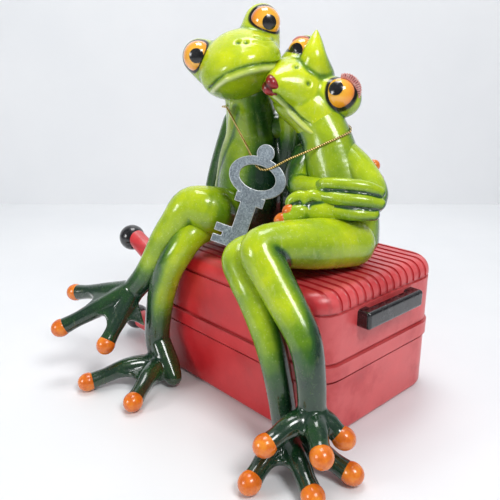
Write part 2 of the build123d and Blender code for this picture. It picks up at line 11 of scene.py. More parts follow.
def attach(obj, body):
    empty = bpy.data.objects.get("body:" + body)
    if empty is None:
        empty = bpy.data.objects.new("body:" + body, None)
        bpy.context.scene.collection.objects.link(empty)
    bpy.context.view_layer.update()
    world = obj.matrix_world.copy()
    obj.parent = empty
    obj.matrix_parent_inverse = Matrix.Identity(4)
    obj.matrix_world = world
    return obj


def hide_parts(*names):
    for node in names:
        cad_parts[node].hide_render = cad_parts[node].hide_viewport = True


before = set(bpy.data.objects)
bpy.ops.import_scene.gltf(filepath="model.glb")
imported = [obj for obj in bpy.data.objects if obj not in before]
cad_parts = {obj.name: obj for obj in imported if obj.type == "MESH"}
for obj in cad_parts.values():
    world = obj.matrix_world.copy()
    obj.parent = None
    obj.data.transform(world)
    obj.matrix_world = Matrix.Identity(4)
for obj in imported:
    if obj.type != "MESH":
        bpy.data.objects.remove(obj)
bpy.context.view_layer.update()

# Suitcase: a cast resin block painted red by brush, with ribs over the lid and a raised zip band.
# The paint is satin, with painted shade darkening the grooves and a painted pale pink sheen on the faces
# turned up or towards +x.


def painted(name, roughness, coat):
    """A new material: itself, its node tree, its shader and its object coordinates."""
    material = bpy.data.materials.new(name)
    material.use_nodes = True
    tree = material.node_tree
    shader = tree.nodes["Principled BSDF"]
    shader.inputs["Roughness"].default_value = roughness
    shader.inputs["Coat Weight"].default_value = coat
    shader.inputs["Coat Roughness"].default_value = 0.08
    return material, tree, shader, tree.nodes.new("ShaderNodeTexCoord").outputs["Object"]


def feed(tree, socket, value):
    """Link an output into a socket, or set it to a plain value."""
    if isinstance(value, bpy.types.NodeSocket):
        tree.links.new(value, socket)
    else:
        socket.default_value = value


def calc(tree, operation, first, second=0.0, third=0.0):
    """One math node."""
    node = tree.nodes.new("ShaderNodeMath")
    node.operation = operation
    for socket, value in zip(node.inputs, (first, second, third)):
        feed(tree, socket, value)
    return node.outputs[0]


def noise(tree, coords, scale, detail=3.0, roughness=0.55):
    """Smooth noise from 0 to 1 with features of about 1 / scale metres."""
    node = tree.nodes.new("ShaderNodeTexNoise")
    tree.links.new(coords, node.inputs["Vector"])
    node.inputs["Scale"].default_value = scale
    node.inputs["Detail"].default_value = detail
    node.inputs["Roughness"].default_value = roughness
    return node.outputs["Fac"]


def span(tree, value, low, high, to_low=0.0, to_high=1.0):
    """Map a range smoothly to another one, held at its ends."""
    node = tree.nodes.new("ShaderNodeMapRange")
    node.interpolation_type = "SMOOTHSTEP"
    names = ("Value", "From Min", "From Max", "To Min", "To Max")
    for name, number in zip(names, (value, low, high, to_low, to_high)):
        feed(tree, node.inputs[name], number)
    return node.outputs["Result"]


def blend(tree, share, first, second):
    """Mix two colours; each is an output or an RGB triple."""
    node = tree.nodes.new("ShaderNodeMix")
    node.data_type = "RGBA"
    feed(tree, node.inputs["Factor"], share)
    for socket, colour in ((node.inputs["A"], first), (node.inputs["B"], second)):
        feed(tree, socket, (*colour, 1.0) if isinstance(colour, tuple) else colour)
    return node.outputs["Result"]


def ramp(tree, value, stops):
    """Colours along a value; each stop is (place, RGB)."""
    node = tree.nodes.new("ShaderNodeValToRGB")
    points = node.color_ramp.elements
    while len(points) < len(stops):
        points.new(1.0)
    for point, (place, colour) in zip(points, stops):
        point.position = place
        point.color = (*colour, 1.0)
    tree.links.new(value, node.inputs["Fac"])
    return node.outputs["Color"]


def bump(tree, shader, height, strength, distance):
    """Fine relief from a height."""
    node = tree.nodes.new("ShaderNodeBump")
    node.inputs["Strength"].default_value = strength
    node.inputs["Distance"].default_value = distance
    tree.links.new(height, node.inputs["Height"])
    tree.links.new(node.outputs["Normal"], shader.inputs["Normal"])


def refinish(node, material):
    """Paint a CAD node where it stands."""
    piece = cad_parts[node]
    piece.data.materials.clear()
    piece.data.materials.append(material)


seam_heights = (0.0246, 0.0316, 0.0514)
lid_edge = 0.0518
rib_half_pitch = 0.0023
suitcase_red, tree, shader, coords = painted("suitcase red", 0.42, 0.4)
shader.inputs["Coat Roughness"].default_value = 0.3
parts = tree.nodes.new("ShaderNodeSeparateXYZ")
tree.links.new(coords, parts.inputs["Vector"])
brushed = noise(tree, coords, 60.0, 5.0)
speckle = noise(tree, coords, 900.0, 2.0)
wall_grooves = 0.0
for height in seam_heights:
    away = calc(tree, "ABSOLUTE", calc(tree, "SUBTRACT", parts.outputs["Z"], height))
    wall_grooves = calc(tree, "MAXIMUM", wall_grooves, span(tree, away, 0.0005, 0.0012, 1.0, 0.0))
rib_place = calc(tree, "PINGPONG", parts.outputs["Y"], rib_half_pitch)
rib_grooves = span(tree, rib_place, 0.0004, 0.0012, 1.0, 0.0)
on_lid = span(tree, parts.outputs["Z"], lid_edge, lid_edge + 0.0006)
groove_shade = calc(tree, "MAXIMUM", wall_grooves, calc(tree, "MULTIPLY", rib_grooves, on_lid))
red = ramp(
    tree,
    brushed,
    [(0.25, (0.46, 0.008, 0.013)), (0.5, (0.6, 0.014, 0.021)), (0.78, (0.72, 0.035, 0.042))],
)
red = blend(tree, span(tree, speckle, 0.68, 0.8, 0.0, 0.35), red, (0.74, 0.1, 0.11))
# Painted shade: the grooves are darkened in the colour.
red = blend(tree, calc(tree, "MULTIPLY", groove_shade, 0.24), red, (0.13, 0.004, 0.008))
# Painted sheen: a pale pink on the faces turned up or towards +x, broken up by the brush noise.
faced = tree.nodes.new("ShaderNodeSeparateXYZ")
tree.links.new(tree.nodes.new("ShaderNodeNewGeometry").outputs["Normal"], faced.inputs["Vector"])
painted_sheen = span(tree, calc(tree, "MAXIMUM", faced.outputs["X"], faced.outputs["Z"]), 0.45, 0.95, 0.0, 0.34)
painted_sheen = calc(tree, "MULTIPLY", painted_sheen, span(tree, brushed, 0.36, 0.6, 0.25, 1.0))
red = blend(tree, painted_sheen, red, (0.86, 0.25, 0.25))
tree.links.new(red, shader.inputs["Base Color"])
tree.links.new(span(tree, brushed, 0.3, 0.7, 0.32, 0.5), shader.inputs["Roughness"])
bump(tree, shader, noise(tree, coords, 350.0, 3.0), 0.12, 0.001)
refinish("suitcase_body", suitcase_red)

# Carry handle and wheels: black painted castings set into the end walls of the case.
# The handle is a bar on two feet, and the wheels are balls seated on short red brackets.
trim_black, tree, shader, coords = painted("trim black", 0.2, 0.6)
worn = noise(tree, coords, 220.0, 4.0)
black = ramp(
    tree,
    worn,
    [(0.35, (0.004, 0.004, 0.005)), (0.6, (0.012, 0.012, 0.014)), (0.8, (0.04, 0.04, 0.045))],
)
tree.links.new(black, shader.inputs["Base Color"])
tree.links.new(span(tree, worn, 0.35, 0.75, 0.16, 0.34), shader.inputs["Roughness"])
bump(tree, shader, noise(tree, coords, 700.0, 2.0), 0.06, 0.0005)
refinish("carry_handle", trim_black)
for wheel in ("front_lower", "front_upper", "rear_lower", "rear_upper"):
    refinish(f"wheel_{wheel}", trim_black)

# Gent's torso: cast resin, airbrushed from lime on the belly to bottle green on the back.
# It sits on the lid and carries a soft fold down its right flank.
MM = 0.001
ACROSS = Vector((0.681, 0.733, 0.0))


def oval(form, centre, radii, turn=Matrix.Identity(3)):
    """A ball stretched to three radii, in millimetres."""
    place = Matrix.Translation(Vector(centre) * MM) @ (turn @ Matrix.Diagonal(Vector(radii) * MM)).to_4x4()
    bmesh.ops.create_icosphere(form, subdivisions=4, radius=1.0, matrix=place)


def flow(knots, steps):
    """A smooth run of rows through the given rows of numbers."""
    knots = np.array(knots, float)
    knots = np.vstack([2 * knots[0] - knots[1], knots, 2 * knots[-1] - knots[-2]])
    for before, here, after, beyond in zip(knots, knots[1:], knots[2:], knots[3:]):
        for share in np.arange(steps) / steps:
            bend = (2 * before - 5 * here + 4 * after - beyond) * share**2
            twist = (3 * here - before - 3 * after + beyond) * share**3
            yield here + ((after - before) * share + bend + twist) / 2
    yield knots[-2]


def trunk(form, sections, turn=Matrix.Identity(3), steps=5):
    """Ovals along a smooth curve through (centre, radii) sections, in millimetres."""
    for row in flow([(*centre, *radii) for centre, radii in sections], steps):
        oval(form, row[:3], row[3:], turn)


def limb(form, stations, steps=5):
    """Balls and tapered runs along a smooth curve through (place, radius) stations, in millimetres."""
    rows = flow([(*place, radius) for place, radius in stations], steps)
    path = [(Vector(row[:3]), row[3]) for row in rows]
    for place, radius in path:
        there = Matrix.Translation(place * MM)
        bmesh.ops.create_icosphere(form, subdivisions=3, radius=radius * MM, matrix=there)
    for (here, radius), (after, next_radius) in zip(path, path[1:]):
        run = after - here
        place = Matrix.Translation((here + after) / 2 * MM) @ run.to_track_quat("Z", "Y").to_matrix().to_4x4()
        bmesh.ops.create_cone(
            form, cap_ends=True, segments=32, radius1=radius * MM, radius2=next_radius * MM,
            depth=run.length * MM, matrix=place,
        )


def stand_for(piece, node, body="figurine"):
    """Put a piece in place of its CAD node."""
    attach(piece, body)
    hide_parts(node)


def ease(values, low, high):
    """0 below low, 1 above high, and smooth between."""
    share = np.clip((values - low) / (high - low), 0, 1)
    return share * share * (3 - 2 * share)


class Skin:
    """One organic piece: overlapping forms melted into a single smooth surface, then shaped and painted."""

    def __init__(self, name, form, grain=0.55, smoothing=10):
        rough_mesh = bpy.data.meshes.new(name)
        form.to_mesh(rough_mesh)
        form.free()
        rough = bpy.data.objects.new(name, rough_mesh)
        bpy.context.scene.collection.objects.link(rough)
        melt = rough.modifiers.new("melt", "REMESH")
        melt.mode = "VOXEL"
        melt.voxel_size = grain * MM
        soften = rough.modifiers.new("soften", "SMOOTH")
        soften.factor = 0.5
        soften.iterations = smoothing
        done = rough.evaluated_get(bpy.context.evaluated_depsgraph_get())
        self.mesh = bpy.data.meshes.new_from_object(done)
        bpy.data.objects.remove(rough)
        bpy.data.meshes.remove(rough_mesh)
        self.mesh.name = name
        self.object = bpy.data.objects.new(name, self.mesh)
        bpy.context.scene.collection.objects.link(self.object)
        self.mesh.polygons.foreach_set("use_smooth", [True] * len(self.mesh.polygons))

    def places(self):
        """Vertex places in millimetres."""
        places = np.empty(len(self.mesh.vertices) * 3)
        self.mesh.vertices.foreach_get("co", places)
        return places.reshape(-1, 3) / MM

    def normals(self):
        """Vertex normals."""
        normals = np.empty(len(self.mesh.vertices) * 3)
        self.mesh.vertices.foreach_get("normal", normals)
        return normals.reshape(-1, 3)

    def facing(self, direction):
        """How far each vertex faces a direction, from -1 to 1."""
        return self.normals() @ np.array(Vector(direction).normalized())

    def near(self, line):
        """Distance of each vertex from a line of places, and the share along it of the nearest place."""
        places = self.places()
        line = np.array([tuple(place) for place in line], float)
        lengths = np.linalg.norm(np.diff(line, axis=0), axis=1)
        starts = np.concatenate([[0.0], np.cumsum(lengths)])
        closest = np.full(len(places), np.inf)
        along = np.zeros(len(places))
        for start, end, length, begun in zip(line, line[1:], lengths, starts):
            share = np.clip((places - start) @ (end - start) / length**2, 0, 1)
            away = np.linalg.norm(places - start - share[:, None] * (end - start), axis=1)
            nearer = away < closest
            closest[nearer] = away[nearer]
            along[nearer] = ((begun + share * length) / starts[-1])[nearer]
        return closest, along

    def glow(self, line, width):
        """1 on a line of places, fading to 0 over a width."""
        return np.exp(-((self.near(line)[0] / width) ** 2))

    def push(self, amounts):
        """Move each vertex along its normal, in millimetres."""
        moved = self.places() + self.normals() * np.asarray(amounts)[:, None]
        self.mesh.vertices.foreach_set("co", moved.ravel() * MM)
        self.mesh.update()

    def fold(self, line, depth, width):
        """A groove along a line of places, or a ridge where the depth is negative."""
        self.push(-depth * self.glow(line, width))

    def pit(self, place, depth, width):
        """A small round hollow."""
        x, y, z = place
        self.fold([place, (x, y, z + 0.2)], depth, width)

    def bend(self, spread):
        """How far the surface bends, in millimetres per vertex: creases positive, ridges negative."""
        ends = np.empty(len(self.mesh.edges) * 2, int)
        self.mesh.edges.foreach_get("vertices", ends)
        first, second = ends.reshape(-1, 2).T
        count = np.bincount(ends, minlength=len(self.mesh.vertices))
        size = len(count)

        def average(values):
            total = np.bincount(first, values[second], size) + np.bincount(second, values[first], size)
            return total / count

        places = self.places()
        lift = np.stack([average(places[:, axis]) for axis in range(3)], axis=1) - places
        depth = (lift * self.normals()).sum(axis=1)
        for _ in range(spread):
            depth = average(depth)
        return depth

    def crease_shade(self, spread=10):
        """Painted shade for creases: 0 on swells, up to 1 in deep creases."""
        return np.clip(self.bend(spread) / 0.012, 0, 1)

    def ridges(self, spread=3):
        """A pale painted highlight for sharp edges: 0 on smooth swells, up to 1 on sharp ridges."""
        return ease(-self.bend(spread), 0.03, 0.09)

    def painted_toplight(self):
        """Painted light from above: 0 on the sides away from the sky, 1 on the tops that face it."""
        return ease(self.facing((0.35, -0.35, 0.87)), 0.0, 0.9)

    def paint(self, name, values):
        """Store a value per vertex for the material."""
        layer = self.mesh.attributes.get(name) or self.mesh.attributes.new(name, "FLOAT", "POINT")
        layer.data.foreach_set("value", np.clip(values, 0, 1).astype(np.float32))

    def line_eyes(self, eyes, reaches):
        """Paint a thin black rim round each eye, out to its reach."""
        ink = np.zeros(len(self.mesh.vertices))
        for side, reach in reaches.items():
            away = np.linalg.norm(self.places() - np.array(eyes[side]), axis=1)
            ink = np.maximum(ink, 1 - ease(away, reach - 0.6, reach))
        self.paint("ink", ink)

    def set_in(self, node, material):
        """Give the piece its finish and put it in place of its CAD node."""
        self.mesh.materials.append(material)
        stand_for(self.object, node)


def attribute(tree, name):
    """A value that was painted on the mesh."""
    node = tree.nodes.new("ShaderNodeAttribute")
    node.attribute_name = name
    return node.outputs["Fac"]


frog_green, tree, shader, coords = painted("frog skin", 0.2, 0.45)
shader.inputs["Specular IOR Level"].default_value = 0.4
# The painted dark value holds the airbrushing together with painted shade and painted light; the pale value
# holds painted bands and rims and painted ridge highlights.
paints = {name: attribute(tree, name) for name in ("dark", "pale", "ink")}
cloud = noise(tree, coords, 130.0, 4.0, 0.6)
fleck = noise(tree, coords, 1300.0, 2.0, 0.7)
patch = noise(tree, coords, 42.0, 3.0)
mist = calc(tree, "ADD", calc(tree, "MULTIPLY", cloud, 0.4), calc(tree, "MULTIPLY", patch, 0.6))
shade = calc(tree, "MULTIPLY_ADD", calc(tree, "SUBTRACT", mist, 0.5), 0.9, paints["dark"])
green = ramp(
    tree,
    shade,
    [
        (0.0, (0.66, 0.74, 0.008)),
        (0.2, (0.38, 0.52, 0.008)),
        (0.44, (0.135, 0.27, 0.007)),
        (0.68, (0.024, 0.095, 0.012)),
        (1.0, (0.0055, 0.03, 0.0135)),
    ],
)
on_lime = span(tree, paints["dark"], 0.2, 0.75, 0.4, 0.08)
flecks = calc(tree, "MULTIPLY", span(tree, fleck, 0.6, 0.76), on_lime)
stretch = tree.nodes.new("ShaderNodeMapping")
stretch.inputs["Scale"].default_value = (1.0, 1.0, 0.2)
tree.links.new(coords, stretch.inputs["Vector"])
stroke = noise(tree, stretch.outputs["Vector"], 520.0, 3.0, 0.65)
all_over = span(tree, paints["dark"], 0.15, 0.9, 0.2, 0.06)
strokes = calc(tree, "MULTIPLY", span(tree, stroke, 0.58, 0.78), all_over)
pearl = calc(tree, "ADD", flecks, strokes)
green = blend(tree, pearl, green, (0.85, 0.92, 0.42))
green = blend(tree, paints["pale"], green, (0.92, 0.96, 0.6))
green = blend(tree, paints["ink"], green, (0.006, 0.005, 0.004))
tree.links.new(green, shader.inputs["Base Color"])
tree.links.new(span(tree, cloud, 0.3, 0.7, 0.18, 0.3), shader.inputs["Roughness"])
tree.links.new(span(tree, shade, 0.45, 0.95, 0.45, 1.0), shader.inputs["Coat Weight"])
bump(tree, shader, noise(tree, coords, 420.0, 3.0), 0.1, 0.001)

form = bmesh.new()
trunk(
    form,
    [
        ((-23, 3, 69), (17.5, 14.5, 10)),
        ((-23, 3, 80), (18.6, 14.8, 12)),
        ((-22.8, 3, 93), (16.4, 13.4, 12)),
        ((-22, 2, 106), (12.8, 11.6, 11)),
        ((-20, -1, 117), (11, 10.8, 10)),
        ((-17.5, -5, 126), (10.5, 10.5, 9)),
    ],
)
trunk(
    form,
    [
        ((-10, 10, 72), (10, 7, 9)),
        ((-7, 10, 86), (9, 7, 9)),
        ((-6, 10, 98), (8, 6.5, 8)),
        ((-4, 9.5, 107), (7, 5.5, 7)),
        ((-3.5, 8, 115), (6.5, 5, 6)),
    ],
)
gent_torso = Skin("gent_torso_skin", form)
flank = [
    (-17.5, -13.4, 120), (-21.8, -11.2, 113.1), (-24.8, -9.9, 107.7), (-28.4, -8.8, 102), (-32, -8.2, 96),
    (-35.4, -7.6, 90), (-37, -7.4, 85), (-36, -8.2, 80), (-32, -10.4, 76), (-27, -12, 74),
]
gent_torso.fold(flank, -1.5, 1.5)
gent_torso.paint("pale", 0.7 * gent_torso.glow(flank, 1.1))
# Painted shade in the creases and on the side turned to the lady, where the two bodies shade each other; the
# tops are painted lighter as painted light.
back = ease(gent_torso.facing((-0.35, 0.9, 0.1)), 0.1, 0.8)
between_shade = ease(gent_torso.facing((1, 0.3, -0.2)), 0.2, 0.8)
x, _, z = gent_torso.places().T
between_shade = np.maximum(between_shade * 0.6, (1 - ease(z, 100, 112)) * ease(x, -17, -8))
lap = 1 - ease(z, 86, 106)
dark = 0.33 + 0.38 * back + 0.5 * gent_torso.crease_shade() + 0.6 * between_shade + 0.2 * lap
gent_torso.paint("dark", dark - 0.15 * gent_torso.painted_toplight())
gent_torso.set_in("gent_torso", frog_green)

# Gent's head: a wide flat frog's head cast with two eye stalks, tilted towards the lady.
# Its mouth is a long pale line, and the snout has two small nostrils.
gent_face = Matrix(
    (
        (0.62, 0.76, -0.189, -14.0),
        (0.674, -0.64, -0.366, -12.0),
        (0.4, -0.1, 0.909, 135.0),
        (0.0, 0.0, 0.0, 1.0),
    )
)
gent_eyes = {"left": Vector((-9.2, -3.0, 152.6)), "right": Vector((-27.6, -23.4, 139.3))}
gent_looks = {"left": Vector((0.857, -0.43, -0.06)), "right": Vector((0.68, -0.72, 0.03))}


def on_face(face, line):
    """Places given as left, forward and up on a face, turned into the frame."""
    return [tuple(face @ Vector(place)) for place in line]


form = bmesh.new()
trunk(
    form,
    [
        (gent_face @ Vector((0, forward, rise)), (half_width, 6.0, half_height))
        for forward, rise, half_width, half_height in (
            (-11, 2, 10, 8.5), (-6, 1.5, 15, 13), (0, 1, 17.3, 13.6),
            (5, 0.8, 17, 12), (9, 1, 14.8, 9.6), (12, 1.2, 10.5, 6.6),
        )
    ],
    gent_face.to_3x3(),
)
gent_lid_setback = 4.4
for side, root in (("left", (10, -5, 5)), ("right", (-10, -5, 5))):
    lid = gent_eyes[side] - gent_looks[side].normalized() * gent_lid_setback
    limb(form, [(on_face(gent_face, [root])[0], 9.5), (tuple(lid), 7.6)])
gent_head = Skin("gent_head_skin", form, grain=0.5, smoothing=26)
mouth = [
    (-22, -24.6, 122.4), (-18.7, -26.7, 124.8), (-15.5, -27.4, 127), (-10, -28.3, 129.8),
    (-5.7, -27.8, 132.1), (-1.7, -25.1, 133.9), (1.4, -21.2, 135.4), (2.8, -15.6, 136.2),
    (2.3, -7.9, 136.6), (0, -2, 136.8),
]
gent_head.fold(mouth, 0.9, 0.7)
lip_line = [(x, y + 0.6, z - 1.9) for x, y, z in mouth]
gent_head.fold(lip_line, -0.9, 1.1)
for lid_fold in (
    [(-3.4, -14, 146.6), (-0.8, -11.4, 145.4), (-2.1, -4.7, 145.7)],
    [(-1.8, -15.9, 144.2), (1, -12.4, 143), (-1.5, -3, 143.4)],
):
    gent_head.fold(lid_fold, 0.5, 0.8)
for nostril in ((-6.3, -20.4, 144.4), (-3.6, -18.6, 144.4)):
    gent_head.pit(nostril, 1.0, 1.0)
gent_head.line_eyes(gent_eyes, {"left": 7.5, "right": 7.5})
gent_head.paint("pale", 0.6 * gent_head.glow(lip_line, 0.9))
back = ease(gent_head.facing((-0.75, 0.6, 0.2)), 0.0, 0.8)
under = ease(gent_head.facing((-0.3, -0.1, -1)), 0.3, 0.9)
# Painted shade in the creases and painted light on the tops.
dark = 0.25 + 0.42 * back + 0.1 * under + 0.45 * gent_head.crease_shade()
gent_head.paint("dark", dark + 0.3 * gent_head.glow(mouth, 0.7) - 0.17 * gent_head.painted_toplight())
gent_head.set_in("gent_head", frog_green)

# Gent's arms: the right one props him up on the lid behind his hip, and the left one goes round the lady.
# Each is one casting with long fingers, darker green on the outer side.
gent_arms = {
    "right": (
        [
            ((-34, 2, 111), 5.4), ((-38.5, 0.5, 99), 5.2), ((-42.5, -1, 87), 4.9),
            ((-44.5, -3, 77), 4.4), ((-46, -5, 70), 3.8),
        ],
        [(-48.5, -12, 61.5), (-43, -15, 61.5), (-39, -10.5, 61.5)],
    ),
    "left": (
        [
            ((-12, 7.5, 109.5), 6.2), ((-3, 15, 107), 5.6), ((6, 21, 102), 4.9),
            ((15, 22.5, 99), 4.4), ((23, 22.5, 96), 3.8),
        ],
        [(35.5, 15.5, 97), (37.5, 16, 91.5), (34.5, 18.5, 86)],
    ),
}
for side, (stations, tips) in gent_arms.items():
    form = bmesh.new()
    limb(form, stations)
    wrist = Vector(stations[-1][0])
    for tip in tips:
        knuckle = wrist.lerp(Vector(tip), 0.5)
        limb(form, [(wrist, 3.0), (knuckle, 2.1), (tip, 1.9)], steps=4)
    gent_arm = Skin(f"gent_{side}_arm_skin", form, grain=0.5, smoothing=8)
    # Both arms are painted dark all over as painted shade, for the shade they lie in behind and between the
    # bodies, with painted shade in the creases.
    outer = ease(gent_arm.facing((-0.6, 0.7, -0.1)), -0.2, 0.7)
    gent_arm.paint("dark", 0.62 + 0.4 * outer + 0.4 * gent_arm.crease_shade())
    gent_arm.set_in(f"gent_{side}_arm", frog_green)

# Gent's legs: long castings that hang down the front of the case, lime on top of the thigh and shin, with
# painted light on those tops.
# They darken to glossy bottle green at the ankles and the webbed feet.
gent_legs = {
    "right": (
        [
            ((-27, -10, 71.5), 9.8), ((-15.2, -27.8, 76.4), 10.6), ((-19, -36.5, 79.2), 8.0),
            ((-23.5, -41, 71.5), 7.0), ((-27.8, -44, 64), 6.5), ((-34.7, -48.5, 49.5), 5.6),
            ((-41, -53, 39.5), 5.2),
        ],
        [(-72, -66, 33), (-56, -82, 25), (-37, -71, 20)],
        0.0,
        (-31, -54, 22),
    ),
    "left": (
        [
            ((-22, -12, 68), 8.0), ((-20, -26, 68), 6.4), ((-16.6, -38, 67.2), 6.2),
            ((-19.2, -44.2, 59.2), 6.3), ((-23.9, -46.5, 50), 6.2), ((-29.3, -47, 36), 6.0),
            ((-31.6, -48, 18), 5.6), ((-28, -48, 6.5), 5.2),
        ],
        [(-39.5, -79.5, 4.1), (-12.3, -73.8, 4.1)],
        2.5,
        (-17.5, -50, 4.2),
    ),
}
web_thickness = 2.6
heel_on_table_below = 10


def web(form, root, first, second, reach=0.86, sag=0.32):
    """A sheet of skin between two toes, with a hollow front edge."""
    grid = bmesh.ops.create_grid(form, x_segments=12, y_segments=10, size=1.0)["verts"]
    for vert in grid:
        across = (vert.co.x + 1) / 2
        out = (0.08 + 0.92 * (vert.co.y + 1) / 2) * reach * (1 - sag * math.sin(math.pi * across))
        vert.co = (root + (first - root) * out * (1 - across) + (second - root) * out * across) * MM
    faces = list({face for vert in grid for face in vert.link_faces})
    bmesh.ops.recalc_face_normals(form, faces=faces)
    bmesh.ops.solidify(form, geom=faces, thickness=web_thickness * MM)


def toes(form, ankle, tips, arch, heel):
    """Toes that fan out from the ankle, webbed to each other and to the heel, which is full on the table."""
    ankle = Vector(ankle)
    for tip in tips:
        tip = Vector(tip)
        knee = ankle.lerp(tip, 0.45) + Vector((0, 0, arch))
        ball = ankle.lerp(tip, 0.76) + Vector((0, 0, arch * 0.4))
        limb(form, [(ankle, 4.9), (knee, 4.1), (ball, 3.4), (ankle.lerp(tip, 0.95), 3.7)])
    for first, second in zip(tips, tips[1:]):
        web(form, ankle, Vector(first), Vector(second))
    if heel:
        heel = Vector(heel)
        if heel.z < heel_on_table_below:
            instep = ankle.lerp(heel, 0.5) + Vector((0, 0, 3))
            limb(form, [(ankle + Vector((-2, 0, 10)), 5.0), (instep, 5.2), (heel, 3.9)])
        web(form, ankle, Vector(tips[-1]), heel, reach=0.84, sag=0.24)


def leg(node, stations, tips, arch, heel, outer, fade, spray=None):
    """One leg with its foot, dark low down, on its outer side and along a spray over the knee."""
    form = bmesh.new()
    limb(form, stations)
    toes(form, stations[-1][0], tips, arch, heel)
    skin = Skin(f"{node}_skin", form, grain=0.55, smoothing=9)
    along = skin.near([place for place, _ in stations])[1]
    low = ease(along, *fade)
    edge = ease(skin.facing(outer), 0.1, 0.8) * ease(along, 0.12, 0.45)
    # Painted shade goes in the creases and painted light on the thigh and shin tops; the pale on sharp ridges
    # is a painted highlight.
    dark = 0.32 + 0.64 * low + 0.5 * edge + 0.45 * skin.crease_shade() - 0.13 * skin.painted_toplight() * (1 - low)
    if spray:
        dark += 0.5 * ease(skin.facing((-0.7, -0.25, 0.66)), 0.72, 0.98) * skin.glow(spray, 7)
    skin.paint("dark", dark)
    skin.paint("pale", 0.35 * skin.ridges())
    skin.set_in(node, frog_green)


leg("gent_right_leg", *gent_legs["right"], ACROSS, (0.74, 1.0), spray=[(-20, -30, 84), (-25, -38, 80)])
leg("gent_left_leg", *gent_legs["left"], -ACROSS, (0.58, 0.9))

# Lady's torso: slimmer than the gent's and leaning on him, cast and airbrushed the same way.
# Her neck runs up to the left, into the tilted head.
form = bmesh.new()
trunk(
    form,
    [
        ((30, 6, 68), (15, 12, 9)),
        ((28.5, 6, 77), (15.6, 12.2, 11)),
        ((24.5, 6, 88), (15, 11.6, 11)),
        ((21, 6, 98), (13, 10.8, 10)),
        ((18, 6, 107), (11, 10, 9.5)),
        ((13, 5.5, 115), (10.4, 10, 9)),
        ((10, 5, 121), (8, 8, 7)),
    ],
)
lady_torso = Skin("lady_torso_skin", form)
back = ease(lady_torso.facing((0.3, 0.95, 0.0)), 0.0, 0.8)
# Painted shade in the creases and on the side turned to the gent, where the two bodies shade each other; the
# tops are painted lighter as painted light.
between_shade = ease(lady_torso.facing((-0.9, -0.2, -0.2)), 0.25, 0.85)
dark = 0.42 + 0.3 * back + 0.5 * lady_torso.crease_shade() + 0.7 * between_shade
lady_torso.paint("dark", dark - 0.16 * lady_torso.painted_toplight())
lady_torso.set_in("lady_torso", frog_green)

# Lady's head: narrower, with a pointed crest over the far eye and a raised ring round the near one.
# Her lips are a separate painted piece on the tip of the snout.
lady_face = Matrix(
    (
        (0.763, 0.045, 0.646, 6.0),
        (0.05, -0.998, 0.011, 3.0),
        (-0.646, -0.024, 0.764, 127.0),
        (0.0, 0.0, 0.0, 1.0),
    )
)
lady_eyes = {"left": Vector((22.0, 8.6, 124.6)), "right": Vector((1.9, 8.1, 140.6))}
lady_looks = {"left": Vector((0.32, -0.81, 0.42)), "right": Vector((0.254, -0.929, 0.17))}
form = bmesh.new()
trunk(
    form,
    [
        (lady_face @ Vector((shift, forward, rise)), (half_width, 5.0, half_height))
        for shift, forward, rise, half_width, half_height in (
            (0, -9, 0, 9, 7.5), (0, -5, 0, 13.5, 10), (0, 0, -0.5, 15.3, 11),
            (-0.6, 5, -0.2, 13.2, 9.8), (-1.3, 9.5, 0, 9.8, 7.8), (-2, 12.8, 0.2, 6, 5.6),
        )
    ],
    lady_face.to_3x3(),
)
limb(form, [(lady_face @ Vector((2, 1, -3)), 11), ((12, 4.5, 117), 10.4), ((15.5, 5.6, 111), 9.6)])
lady_lid_setback = 3.7
for side, root in (("left", (8, -4, 2)), ("right", (-8, -4, 2))):
    lid = lady_eyes[side] - lady_looks[side].normalized() * lady_lid_setback
    limb(form, [(on_face(lady_face, [root])[0], 9), (tuple(lid), 8.0)])
crest = [((9.5, 8, 131), 8.0), ((11.5, 4.5, 137.5), 5.6), ((10.6, 5.8, 143.5), 3.4), ((9.8, 7.4, 149), 0.8)]
limb(form, crest)
lady_head = Skin("lady_head_skin", form, grain=0.5, smoothing=18)
mouth = [
    (7.6, -13.4, 124.8), (8.4, -12.1, 123.8), (9.4, -9.7, 121.5), (10.8, -7.1, 118.7),
    (13.8, -5.6, 115.7), (16.6, -4.4, 113.5), (18.9, -3.4, 112), (21.5, -1.6, 111.2), (23.5, 0.5, 112),
]
lady_head.fold(mouth, 0.9, 0.7)
lip_line = [(x - 0.9, y, z - 1.6) for x, y, z in mouth]
lady_head.fold(lip_line, -0.8, 1.0)
for nostril in ((15.9, -3.2, 128.7), (10.3, -4.3, 135.1)):
    lady_head.pit(nostril, 0.8, 0.9)
lady_head.line_eyes(lady_eyes, {"left": 7.6, "right": 7.4})
lady_head.paint("pale", 0.6 * lady_head.glow(lip_line, 0.9))
back = ease(lady_head.facing((0.1, 0.95, 0.2)), 0.0, 0.8)
# Painted shade in the creases and painted light on the tops.
dark = 0.26 + 0.42 * back + 0.45 * lady_head.crease_shade() + 0.35 * lady_head.glow(mouth, 0.7)
lady_head.paint("dark", dark - 0.2 * lady_head.painted_toplight())
lady_head.set_in("lady_head", frog_green)

